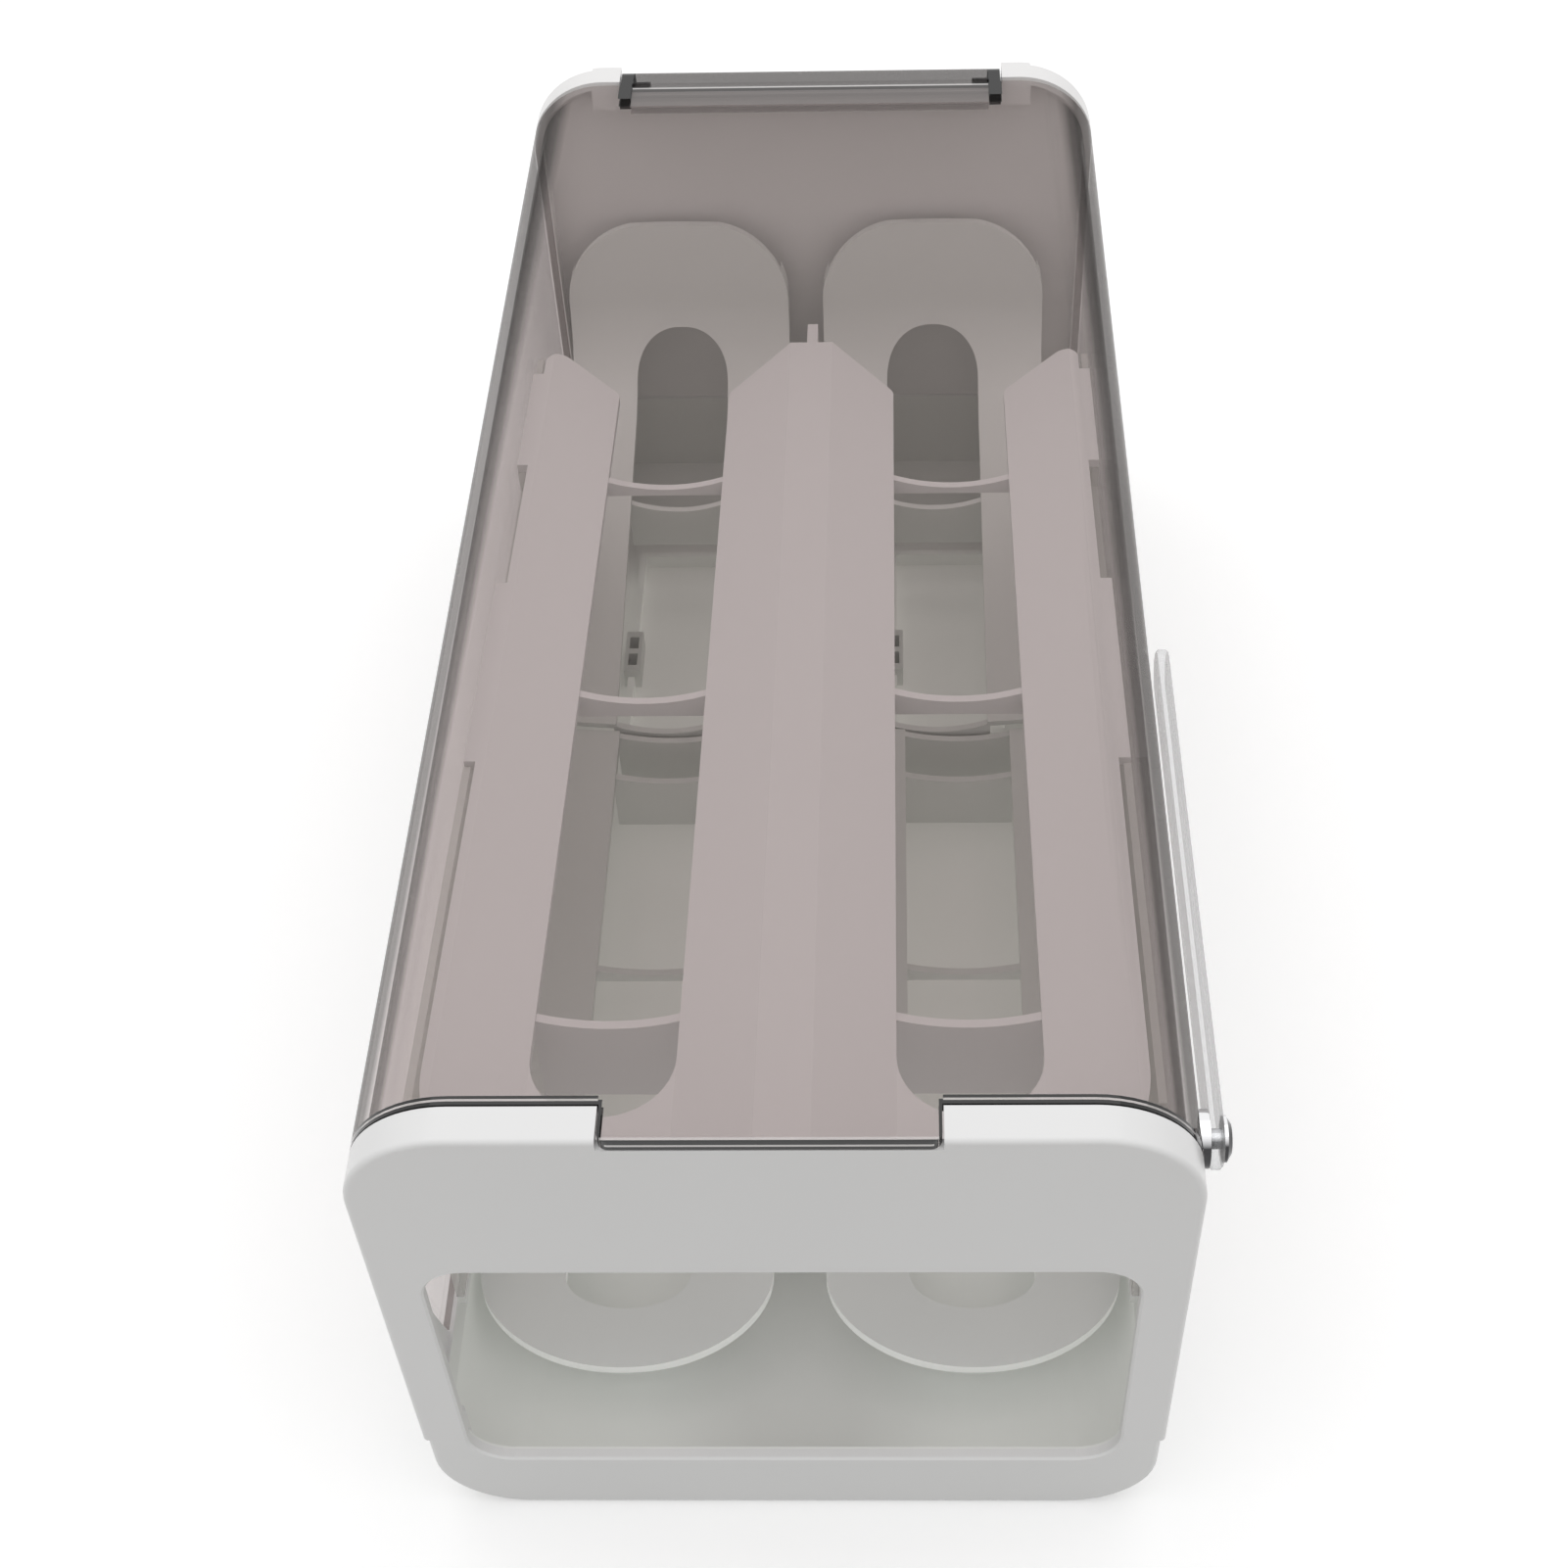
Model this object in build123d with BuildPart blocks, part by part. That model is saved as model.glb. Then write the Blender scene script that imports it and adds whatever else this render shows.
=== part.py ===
from build123d import *
from math import cos, radians, sin, sqrt, tan
import os

# Two-tier rolling egg dispenser.
# Eggs are loaded on the upper tray under the smoked cover, roll to the rear, drop into the two
# scoops, and roll forward along the lower chutes to the open window in the front panel.
# Millimetres. +X is right, -Y is the front, +Z is up. The origin is the middle of the underside.

# Slack when edges are picked by their place
pick_slack = 0.01

# Overall size
length = 372.0
width = 165.0
height = 150.0
corner_radius = 22.0

# Base
seam_height = 31.0
base_inset = 0.9
base_wall = 2.5
base_end_wall = 3.0
floor_thickness = 3.0
base_corner_radius = 20.0
base_edge_radius = 1.5
ledge_thickness = 3.0
ledge_width = 1.8

# Front window
window_width = 145.0
window_sill = 22.0
window_head = 103.0
window_radius = 9.5

# End panels
panel_depth = 8.0
panel_wall = 2.5
panel_edge_radius = 1.2
window_bevel = 0.5
panel_tab_width = 6.0
panel_tab_thickness = 1.9
panel_tab_reach = 7.0
panel_tab_gap = 0.1
panel_tab_side_gap = 0.4
head_tab_pitch = 20.8
head_tab_width = 7.0
head_tab_drop = 0.8

# Cover, which is also the lid
cover_wall = 2.5
cover_gap = 0.4
cover_seat_gap = 0.3
tongue_width = 64.0
tongue_corner = 2.2
tongue_gap = 0.3

# Cover hinge
barrel_radius = 4.0
barrel_length = 109.8
barrel_inset = 4.5
hinge_end_gap = 0.5
hinge_rear_gap = 1.9
hinge_web_width = 3.3
hinge_web_length = 12.0
hinge_web_depth = 1.2
hinge_band = (165.0, 177.0)
hinge_band_depth = 0.5
hinge_pin_radius = 1.5
hinge_pin_length = 15.0
hinge_pin_grip = 7.0
hinge_lug_width = 8.5
hinge_lug_height = 9.0
running_gap = 0.05

# Upper tray: slot edges slope down to the rear. Bars are given by place along the slot and depth
tray_headroom = 51.9
tray_tilt = 2.5
tray_sheet = 2.4
tray_side_gap = 0.7
tray_front_gap = 10.0
tray_front_radius = 34.0
divider_half_width = 23.5
divider_band = 6.0
divider_rear = 120.2
divider_rise = 7.0
shoulder_inner = 55.0
shoulder_band_width = 5.3
shoulder_rise = 6.0
shoulder_rear = 121.5
shoulder_tip_inset = 2.9
shoulder_tip_radius = 4.0
shoulder_step = 107.4
chamfer_start = 105.5
tray_corner_radius = 3.0
upper_slot_setback = 26.0
upper_bars = ((67.8, 5.5), (-18.2, 7.7), (-121.5, 27.0))
upper_bar_thickness = 2.2
upper_bar_sag = 3.5
upper_bar_drop = 0.5
bar_root = 0.8
rear_notch = (15.5, 65.0)
front_notch_rear = -50.0
notch_depth = 2.9

# Side guides and centre guide, which carry the upper tray
guide_thickness = 1.8
guide_side_gap = 0.6
guide_setback = 36.0
guide_rear = 118.0
guide_tab_drop = 1.2
guide_dip = 7.0
centre_guide_thickness = 3.0
centre_guide_front = -118.0
centre_guide_rear = 133.0
guide_rail_height = 6.0
guide_rail_thickness = 1.6
guide_fit = 0.2
guide_rail_rear = 30.0

# Front chutes: slope down to the window
front_chute_side_gap = 2.8
front_chute_half_width = 35.0
front_chute_setback = 24.5
front_chute_rear = 38.0
front_chute_height = 22.7
front_chute_tilt = 1.5
front_chute_sheet = 3.0
front_chute_dish = 2.6
front_lip_depth = 23.5
front_slot_half_width = 15.0
front_slot_depth = 8.5
front_lip = 15.2
front_bars = ((36.0, True), (20.5, True), (-47.0, False))
front_leg_inset = 10.0
front_leg_width = 24.0
short_bar_depth = 4.8
chute_bar_thickness = 2.0
chute_bar_drop = 0.2
front_bar_sag = 2.4
front_leg_root = 0.6

# Rear chutes: ramp, bend and upright scoop
rear_chute_gap = 0.3
rear_chute_half_width = 34.0
rear_chute_front = 39.0
rear_chute_start = 25.5
rear_ramp_angle = 11.5
rear_scoop_angle = 83.0
rear_scoop_gap = 9.4
rear_scoop_height = 102.0
rear_bend_radius = 34.0
rear_chute_sheet = 2.4
rear_chute_dish = 3.6
rear_rim_width = 2.0
rear_top_radius = 23.5
rear_slot_width = 28.6
rear_slot_top = 68.0
rear_bars = ((39.0, 13.0), (118.0, 17.0))
rear_bar_sag = 3.4
skirt_drop = 1.6

# Floor pens under the rear chutes and their clips, placed from the chutes' and the pens' middles
pen_offsets = (2.7, 4.3)
pen_width = 36.0
pen_front = 52.0
pen_rear = 133.0
pen_wall = 2.0
pen_height = 4.6
clip_offset = -16.7
clip_y = 85.2
clip_length = 17.0
clip_width = 5.0
clip_height = 7.2
clip_fit = 0.2
clip_hole = (2.8, 5.0)
clip_hole_depth = 5.5
clip_hole_pitch = 7.2

# Swing arm on the right side of the cover
pivot_inset = 6.6
boss_radius = 5.8
boss_thickness = 1.4
arm_width = 12.0
arm_thickness = 2.6
arm_length = 127.0
knob_radius = 4.6
knob_thickness = 1.6
knob_rim = 0.7
knob_face_radius = 3.2
arm_bevel = 0.5
screw_radius = 2.0
screw_point = 0.5
nut_radius = 3.5
nut_thickness = 1.8
nut_seat_gap = 0.35
stack_gap = 0.1

# Places worked out from the sizes above
front_y = -length / 2
rear_y = length / 2
base_width = width - 2 * base_inset
cavity_half_width = base_width / 2 - base_wall
cavity_radius = base_corner_radius - base_wall
hinge_y = rear_y - barrel_inset
hinge_z = height - barrel_radius
cover_front = front_y + panel_depth + cover_gap
cover_rear = rear_y - panel_depth - hinge_rear_gap
cover_bottom = seam_height + cover_seat_gap
sweep_radius = hinge_y - cover_front
cover_side = width / 2
front_plane = Plane.XZ.offset(length / 2)
rear_plane = Plane.XZ.offset(-length / 2)
window_height = window_head - window_sill
window_middle = (window_head + window_sill) / 2
pivot_y = cover_front + pivot_inset
pivot_z = height - corner_radius
tray_height = height - tray_headroom
tray_half_width = width / 2 - cover_wall - tray_side_gap
tray_front = front_y + tray_front_gap
upper_slot_front = tray_front + upper_slot_setback
shoulder_band = tray_half_width - shoulder_band_width
notch_inner = tray_half_width - notch_depth
guide_outer = width / 2 - cover_wall - guide_side_gap
guide_front = front_y + guide_setback
front_chute_centre = cavity_half_width - front_chute_side_gap - front_chute_half_width
front_chute_tip = front_y + front_chute_setback
front_slot_tip = front_chute_tip + front_lip
front_leg_y = front_chute_tip + front_leg_inset
rear_scoop_top = (rear_y - rear_scoop_gap, rear_scoop_height)
# Both scoops lie pushed to the left: one against the left ledge, one against the centre guide
left_rear_x = rear_chute_half_width + rear_chute_gap + ledge_width - cavity_half_width
right_rear_x = centre_guide_thickness / 2 + rear_chute_gap + rear_chute_half_width
pen_middles = (left_rear_x + pen_offsets[0], right_rear_x + pen_offsets[1])
clip_middles = (pen_middles[0] + clip_offset, pen_middles[1] + clip_offset)

os.makedirs("parts", exist_ok=True)


def arch(span, bottom, top, radius):
    """Upright outline with a flat foot and two rounded top corners."""
    with BuildSketch() as outline:
        with Locations((0, (bottom + top) / 2)):
            Rectangle(span, top - bottom)
        fillet(outline.vertices().group_by(Axis.Y)[-1], radius)
    return outline.sketch


def trough(span, bottom, top, radius):
    """Upright outline with two rounded bottom corners and a flat top."""
    with BuildSketch() as outline:
        with Locations((0, (bottom + top) / 2)):
            Rectangle(span, top - bottom)
        fillet(outline.vertices().group_by(Axis.Y)[0], radius)
    return outline.sketch


def floor_at(x):
    """Height of the base's inner floor, which curves up into the side walls."""
    past_flat = abs(x) - (cavity_half_width - cavity_radius)
    if past_flat <= 0:
        return floor_thickness
    return floor_thickness + cavity_radius - sqrt(cavity_radius**2 - past_flat**2)


def tray_z(y, rise):
    """Height of the tilted upper tray at y, for a point that lies rise above its slot edges."""
    return tray_height - y * tan(radians(tray_tilt)) + rise / cos(radians(tray_tilt))


def window_rim(edges):
    """The edges of the window that lie in the front plane."""
    half_width = window_width / 2 + pick_slack
    rim = edges.filter_by_position(Axis.Y, front_y - pick_slack, front_y + pick_slack)
    rim = rim.filter_by_position(Axis.Z, window_sill - pick_slack, window_head + pick_slack)
    return rim.filter_by_position(Axis.X, -half_width, half_width)


def save(part, name):
    """Names a finished piece and writes it."""
    part.label = name
    export_step(part, f"parts/{name}.step")


# Base: an open box with rounded lower edges and a low front lip
with BuildPart() as base_tray:
    with BuildSketch(Plane.XZ):
        add(trough(base_width, 0, seam_height, base_corner_radius))
    extrude(amount=length / 2, both=True)
    # The front end is rounded, the rear end bevelled
    ends = base_tray.edges().filter_by(Axis.Y, reverse=True).filter_by_position(Axis.Z, 0, seam_height - 1)
    fillet(ends.filter_by_position(Axis.Y, front_y - 1, 0), base_edge_radius)
    ends = base_tray.edges().filter_by(Axis.Y, reverse=True).filter_by_position(Axis.Z, 0, seam_height - 1)
    chamfer(ends.filter_by_position(Axis.Y, 0, rear_y + 1), base_edge_radius)
    with BuildSketch(Plane.XZ):
        add(trough(2 * cavity_half_width, floor_thickness, seam_height + 1, cavity_radius))
    extrude(amount=length / 2 - base_end_wall, both=True, mode=Mode.SUBTRACT)
    with BuildSketch(front_plane):
        with Locations((0, window_middle)):
            RectangleRounded(window_width, window_height, window_radius)
    extrude(amount=-base_end_wall - 1, mode=Mode.SUBTRACT)
    chamfer(window_rim(base_tray.edges()), window_bevel)
    # Ledges inside the side walls carry the side guides
    with BuildSketch(Plane.XY.offset(seam_height - ledge_thickness)):
        with Locations((0, (guide_front + guide_rear) / 2)):
            Rectangle(2 * cavity_half_width, guide_rear - guide_front)
            Rectangle(2 * (cavity_half_width - ledge_width), guide_rear - guide_front, mode=Mode.SUBTRACT)
    extrude(amount=ledge_thickness)
    # Low pens on the floor under the rear chutes
    with BuildSketch(Plane.XY.offset(floor_thickness)):
        pen_length = pen_rear - pen_front
        with Locations(*[(x, (pen_front + pen_rear) / 2) for x in pen_middles]):
            Rectangle(pen_width, pen_length)
            Rectangle(pen_width - 2 * pen_wall, pen_length - 2 * pen_wall, mode=Mode.SUBTRACT)
    extrude(amount=pen_height)
    # Each pen's left wall has a gap for a clip
    with BuildSketch(Plane.XY.offset(floor_thickness)):
        with Locations(*[(x, clip_y) for x in clip_middles]):
            Rectangle(clip_width + 2 * clip_fit, clip_length + 2 * clip_fit)
    extrude(amount=pen_height, mode=Mode.SUBTRACT)
    # Two rails hold the foot of the centre guide
    with BuildSketch(Plane.XY.offset(floor_thickness)):
        rail_offset = centre_guide_thickness / 2 + guide_fit + guide_rail_thickness / 2
        rail_length = guide_rail_rear - centre_guide_front
        with Locations((0, (centre_guide_front + guide_rail_rear) / 2)):
            with Locations((-rail_offset, 0), (rail_offset, 0)):
                Rectangle(guide_rail_thickness, rail_length)
    extrude(amount=guide_rail_height)
save(base_tray.part, "base_tray")


# Front panel: face with the window, a rim, and side cheeks that follow the cover's swing
with BuildPart() as front_panel:
    with BuildSketch(front_plane):
        add(arch(width, seam_height, height, corner_radius))
    extrude(amount=-4 * panel_depth)
    outline = front_panel.faces().sort_by(Axis.Y)[0].edges()
    fillet(outline.filter_by_position(Axis.Z, seam_height + 1, height + 1), panel_edge_radius)
    inner_radius = corner_radius - panel_wall
    with BuildSketch(front_plane.offset(-panel_wall)):
        add(arch(width - 2 * panel_wall, seam_height - 1, height - panel_wall, inner_radius))
    extrude(amount=-4 * panel_depth, mode=Mode.SUBTRACT)
    with BuildSketch(Plane.YZ):
        with Locations((hinge_y, hinge_z)):
            Circle(sweep_radius + cover_gap)
    extrude(amount=width, both=True, mode=Mode.SUBTRACT)
    with BuildSketch(front_plane):
        with Locations((0, window_middle)):
            RectangleRounded(window_width, window_height, window_radius)
    extrude(amount=-panel_wall, mode=Mode.SUBTRACT)
    chamfer(window_rim(front_panel.edges()), window_bevel)
    # Open notch in the top edge for the cover's tongue
    with BuildSketch(front_plane):
        with Locations((0, height)):
            Rectangle(tongue_width + 2 * tongue_gap, 2 * (cover_wall + tongue_gap))
    extrude(amount=-panel_depth - 1, mode=Mode.SUBTRACT)
    # Six small pads along the window head
    with BuildSketch(front_plane.offset(-panel_wall / 3)):
        with Locations((0, window_head + head_tab_drop / 2)):
            with GridLocations(head_tab_pitch, 0, 6, 1):
                Rectangle(head_tab_width, 3 * head_tab_drop)
    extrude(amount=-panel_wall)
    # Two tabs drop behind the front wall of the base
    with BuildSketch(front_plane.offset(-base_end_wall - panel_tab_gap)):
        tab_x = window_width / 2 + panel_tab_width / 2 + panel_tab_side_gap
        tab_z = seam_height + panel_tab_reach / 2
        with Locations((-tab_x, seam_height), (tab_x, seam_height)):
            Rectangle(panel_tab_width, 2 * panel_tab_reach)
    extrude(amount=-panel_tab_thickness)
    with BuildSketch(front_plane.offset(-panel_wall)):
        with Locations((-tab_x, tab_z), (tab_x, tab_z)):
            Rectangle(panel_tab_width, panel_tab_reach)
    extrude(amount=-panel_tab_thickness)
save(front_panel.part, "front_panel")


# Rear panel: a closed wall with the same rim, and two lugs for the hinge pins
with BuildPart() as rear_panel:
    with BuildSketch(rear_plane):
        add(arch(width, seam_height, height, corner_radius))
    extrude(amount=panel_depth)
    outline = rear_panel.faces().sort_by(Axis.Y)[-1].edges()
    chamfer(outline.filter_by_position(Axis.Z, seam_height + 1, height + 1), panel_edge_radius)
    with BuildSketch(rear_plane.offset(panel_wall)):
        add(arch(width - 2 * panel_wall, seam_height - 1, height - panel_wall, inner_radius))
    extrude(amount=panel_depth, mode=Mode.SUBTRACT)
    lug_x = (barrel_length + 2 * hinge_end_gap + hinge_lug_width) / 2
    with BuildSketch(rear_plane):
        with Locations((-lug_x, height - hinge_lug_height / 2), (lug_x, height - hinge_lug_height / 2)):
            Rectangle(hinge_lug_width, hinge_lug_height)
        add(arch(width, 0, height, corner_radius), mode=Mode.INTERSECT)
    extrude(amount=panel_depth)
    # Open notch in the top edge for the hinge barrel
    with BuildSketch(rear_plane):
        with Locations((0, height)):
            Rectangle(barrel_length + 2 * hinge_end_gap, 2 * (2 * barrel_radius + cover_gap))
    extrude(amount=panel_depth + 1, mode=Mode.SUBTRACT)
    with BuildSketch(Plane.YZ):
        with Locations((hinge_y, hinge_z)):
            Circle(hinge_pin_radius)
    extrude(amount=barrel_length / 2 + hinge_end_gap + hinge_pin_grip, both=True, mode=Mode.SUBTRACT)
    with BuildSketch(rear_plane.offset(base_end_wall + panel_tab_gap)):
        with Locations((-tab_x, seam_height), (tab_x, seam_height)):
            Rectangle(panel_tab_width, 2 * panel_tab_reach)
    extrude(amount=panel_tab_thickness)
    with BuildSketch(rear_plane.offset(panel_wall)):
        with Locations((-tab_x, tab_z), (tab_x, tab_z)):
            Rectangle(panel_tab_width, panel_tab_reach)
    extrude(amount=panel_tab_thickness)
save(rear_panel.part, "rear_panel")


# Cover: smoked arch with a finger tongue in front and a hinge barrel behind
with BuildPart() as cover:
    with BuildSketch(Plane.XZ.offset(-cover_rear)):
        add(arch(width, cover_bottom, height, corner_radius))
        add(
            arch(width - 2 * cover_wall, cover_bottom - 1, height - cover_wall, corner_radius - cover_wall),
            mode=Mode.SUBTRACT,
        )
    extrude(amount=cover_rear - cover_front + panel_depth)
    with BuildSketch(Plane.YZ):
        with Locations((hinge_y, hinge_z)):
            Circle(sweep_radius)
    extrude(amount=width, both=True, mode=Mode.INTERSECT)
    with BuildSketch(Plane.XY.offset(height - cover_wall)):
        with Locations((0, front_y + panel_depth)):
            RectangleRounded(tongue_width, 2 * panel_depth, tongue_corner)
    extrude(amount=cover_wall)
    # Barrel, leaf and the two end webs of the hinge
    with BuildSketch(Plane.YZ):
        with Locations((hinge_y, hinge_z)):
            Circle(barrel_radius)
    extrude(amount=barrel_length / 2, both=True)
    with BuildSketch(Plane.XY.offset(height - cover_wall)):
        with Locations((0, (cover_rear - 1 + hinge_y) / 2)):
            Rectangle(barrel_length, hinge_y - cover_rear + 1)
    extrude(amount=cover_wall)
    web_front = hinge_y - hinge_web_length
    web_rear = rear_y - panel_depth + 1
    web_x = (barrel_length - hinge_web_width) / 2
    with BuildSketch(Plane.XY.offset(height - cover_wall - hinge_web_depth)):
        with Locations((-web_x, (web_front + web_rear) / 2), (web_x, (web_front + web_rear) / 2)):
            Rectangle(hinge_web_width, web_rear - web_front)
    extrude(amount=hinge_web_depth + cover_wall / 2)
    # Shallow band in front of the barrel, between the webs
    with BuildSketch(Plane.XY.offset(height)):
        with Locations((0, sum(hinge_band) / 2)):
            Rectangle(barrel_length - 2 * hinge_web_width, hinge_band[1] - hinge_band[0])
    extrude(amount=-hinge_band_depth, mode=Mode.SUBTRACT)
    with BuildSketch(Plane.YZ.offset(barrel_length / 2 - hinge_pin_length + hinge_pin_grip)):
        with Locations((hinge_y, hinge_z)):
            Circle(hinge_pin_radius + running_gap)
    extrude(amount=hinge_pin_length, mode=Mode.SUBTRACT)
    with BuildSketch(Plane.YZ.offset(-barrel_length / 2 + hinge_pin_length - hinge_pin_grip)):
        with Locations((hinge_y, hinge_z)):
            Circle(hinge_pin_radius + running_gap)
    extrude(amount=-hinge_pin_length, mode=Mode.SUBTRACT)
    # Hole for the swing arm's screw
    with BuildSketch(Plane.YZ.offset(cover_side - 2 * cover_wall)):
        with Locations((pivot_y, pivot_z)):
            Circle(screw_radius + running_gap)
    extrude(amount=3 * cover_wall, mode=Mode.SUBTRACT)
save(cover.part, "cover")


# Hinge pins: pressed into the rear panel's lugs, running in the barrel
for side, tag in ((-1, "left"), (1, "right")):
    outer_end = barrel_length / 2 + hinge_end_gap + hinge_pin_grip
    pin_middle = side * (outer_end - hinge_pin_length / 2)
    with BuildPart() as hinge_pin:
        with BuildSketch(Plane.YZ.offset(pin_middle)):
            with Locations((hinge_y, hinge_z)):
                Circle(hinge_pin_radius)
        extrude(amount=hinge_pin_length / 2, both=True)
    save(hinge_pin.part, f"hinge_pin_{tag}")


# Upper tray: one tilted sheet with a ridge, two shoulders, two slots and six concave bars
tilt = radians(tray_tilt)
tray_plane = Plane(origin=(0, 0, tray_height), x_dir=(1, 0, 0), z_dir=(0, sin(tilt), cos(tilt)))
half_section = (
    (divider_band, divider_rise),
    (divider_half_width, 0),
    (shoulder_inner, 0),
    (shoulder_band, shoulder_rise),
    (tray_half_width, shoulder_rise),
)
tray_top = [(-x, h) for x, h in reversed(half_section)] + list(half_section)
tray_bottom = [(x, h - tray_sheet) for x, h in reversed(tray_top)]
half_outline = (
    (0, divider_rear),
    (divider_band, divider_rear),
    (divider_half_width, chamfer_start),
    (divider_half_width, upper_slot_front + (shoulder_inner - divider_half_width) / 2),
)
slot_end = (shoulder_inner + divider_half_width) / 2
shoulder_tip = tray_half_width - shoulder_tip_inset
outer_outline = (
    (shoulder_inner, upper_slot_front + (shoulder_inner - divider_half_width) / 2),
    (shoulder_inner, chamfer_start),
    (shoulder_tip, shoulder_rear),
    (shoulder_tip, shoulder_step),
    (tray_half_width, shoulder_step),
    (tray_half_width, rear_notch[1]),
    (notch_inner, rear_notch[1]),
    (notch_inner, rear_notch[0]),
    (tray_half_width, rear_notch[0]),
    (tray_half_width, front_notch_rear),
    (notch_inner, front_notch_rear),
    (notch_inner, tray_front + tray_front_radius),
)


def tray_section(y):
    """Plane across the tilted tray at y along its slope."""
    return Plane(
        origin=tray_plane.from_local_coords(Vector(0, y, 0)),
        x_dir=(1, 0, 0),
        z_dir=(0, -cos(tilt), sin(tilt)),
    )


with BuildPart() as upper_tray:
    with BuildSketch(tray_section(shoulder_rear)):
        with BuildLine():
            Polyline(*tray_top, *tray_bottom, close=True)
        make_face()
    extrude(amount=shoulder_rear - tray_front)
    # Plan outline with the open slots, the chamfered rear ends and the edge notches
    with BuildSketch(tray_plane) as plan:
        with BuildLine():
            Polyline(*half_outline)
            ThreePointArc(half_outline[-1], (slot_end, upper_slot_front), outer_outline[0])
            Polyline(*outer_outline)
            corner = tray_front_radius * (1 - sqrt(0.5))
            ThreePointArc(
                outer_outline[-1],
                (notch_inner - corner, tray_front + corner),
                (notch_inner - tray_front_radius, tray_front),
            )
            Line((notch_inner - tray_front_radius, tray_front), (0, tray_front))
            mirror(about=Plane.YZ)
        make_face()
        corners = plan.vertices().filter_by_position(Axis.Y, chamfer_start - 1, divider_rear - 1)
        inner = corners.filter_by(lambda corner: abs(corner.X) < shoulder_inner + 1)
        fillet(inner, tray_corner_radius)
        fillet(plan.vertices().group_by(Axis.Y)[-1], shoulder_tip_radius)
    extrude(amount=4 * shoulder_rise, both=True, mode=Mode.INTERSECT)
    for bar_y, bar_depth in upper_bars:
        with BuildSketch(tray_section(bar_y)):
            for side in (-1, 1):
                with BuildLine():
                    inner_end = (side * (divider_half_width - bar_root), -upper_bar_drop)
                    outer_end = (side * (shoulder_inner + bar_root), -upper_bar_drop)
                    ThreePointArc(inner_end, (side * slot_end, -upper_bar_sag), outer_end)
                    Polyline(outer_end, (outer_end[0], -bar_depth), (inner_end[0], -bar_depth), inner_end)
                make_face()
        extrude(amount=upper_bar_thickness)
save(upper_tray.part, "upper_tray")


# Side guides stand on the base's ledges and carry the tray's outer bands
for side, tag in ((-1, "left"), (1, "right")):
    seat = shoulder_rise - tray_sheet
    tab_rise = shoulder_rise - guide_tab_drop
    tab_fit = 2 * guide_fit
    guide_edge = [
        (guide_rear, tray_z(guide_rear, seat)),
        (rear_notch[1], tray_z(rear_notch[1], seat)),
        (rear_notch[1], tray_z(rear_notch[1], seat - guide_dip)),
        (rear_notch[0], tray_z(rear_notch[0], seat - guide_dip)),
        (rear_notch[0], tray_z(rear_notch[0], seat)),
        (front_notch_rear - tab_fit, tray_z(front_notch_rear - tab_fit, seat)),
        (front_notch_rear - tab_fit, tray_z(front_notch_rear - tab_fit, tab_rise)),
        (guide_front, tray_z(guide_front, tab_rise)),
    ]
    with BuildPart() as side_guide:
        with BuildSketch(Plane.YZ.offset(side * guide_outer)):
            with BuildLine():
                Polyline((guide_front, seam_height), (guide_rear, seam_height), *guide_edge, close=True)
            make_face()
        extrude(amount=-side * guide_thickness)
    save(side_guide.part, f"side_guide_{tag}")


# Centre guide stands between the lower lanes and carries the ridge
with BuildPart() as centre_guide:
    ridge = divider_rise - tray_sheet
    with BuildSketch(Plane.YZ):
        with BuildLine():
            Polyline(
                (centre_guide_front, floor_thickness),
                (centre_guide_rear, floor_thickness),
                (centre_guide_rear, tray_z(centre_guide_rear, ridge)),
                (centre_guide_front, tray_z(centre_guide_front, ridge)),
                close=True,
            )
        make_face()
    extrude(amount=centre_guide_thickness / 2, both=True)
save(centre_guide.part, "centre_guide")


# Rear chutes: a dished ramp that bends up into the scoop that catches the falling egg
rear_slope = radians(rear_ramp_angle)


def rear_ramp_z(y):
    """Height of the ramp's middle at y."""
    return rear_chute_start + (y - rear_chute_front) * tan(rear_slope)


def rear_path(drop):
    """Corners of the side view, ramp, bend and upright, lowered by drop."""
    lean = 1 / tan(radians(rear_scoop_angle))
    top_y, top_z = rear_scoop_top
    bend_y = (top_y - lean * (top_z - rear_ramp_z(0))) / (1 - lean * tan(rear_slope))
    corners = ((rear_chute_front, rear_chute_start), (bend_y, rear_ramp_z(bend_y)), (top_y, top_z))
    return [(y, z - drop) for y, z in corners]


def concave_bar(middle, half_span, top, sag, bottom):
    """Outline of a cross bar whose top edge sags in the middle."""
    with BuildSketch() as outline:
        with BuildLine():
            ThreePointArc((middle - half_span, top), (middle, top - sag), (middle + half_span, top))
            Polyline(
                (middle + half_span, top),
                (middle + half_span, bottom),
                (middle - half_span, bottom),
                (middle - half_span, top),
            )
        make_face()
    return outline.sketch


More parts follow.
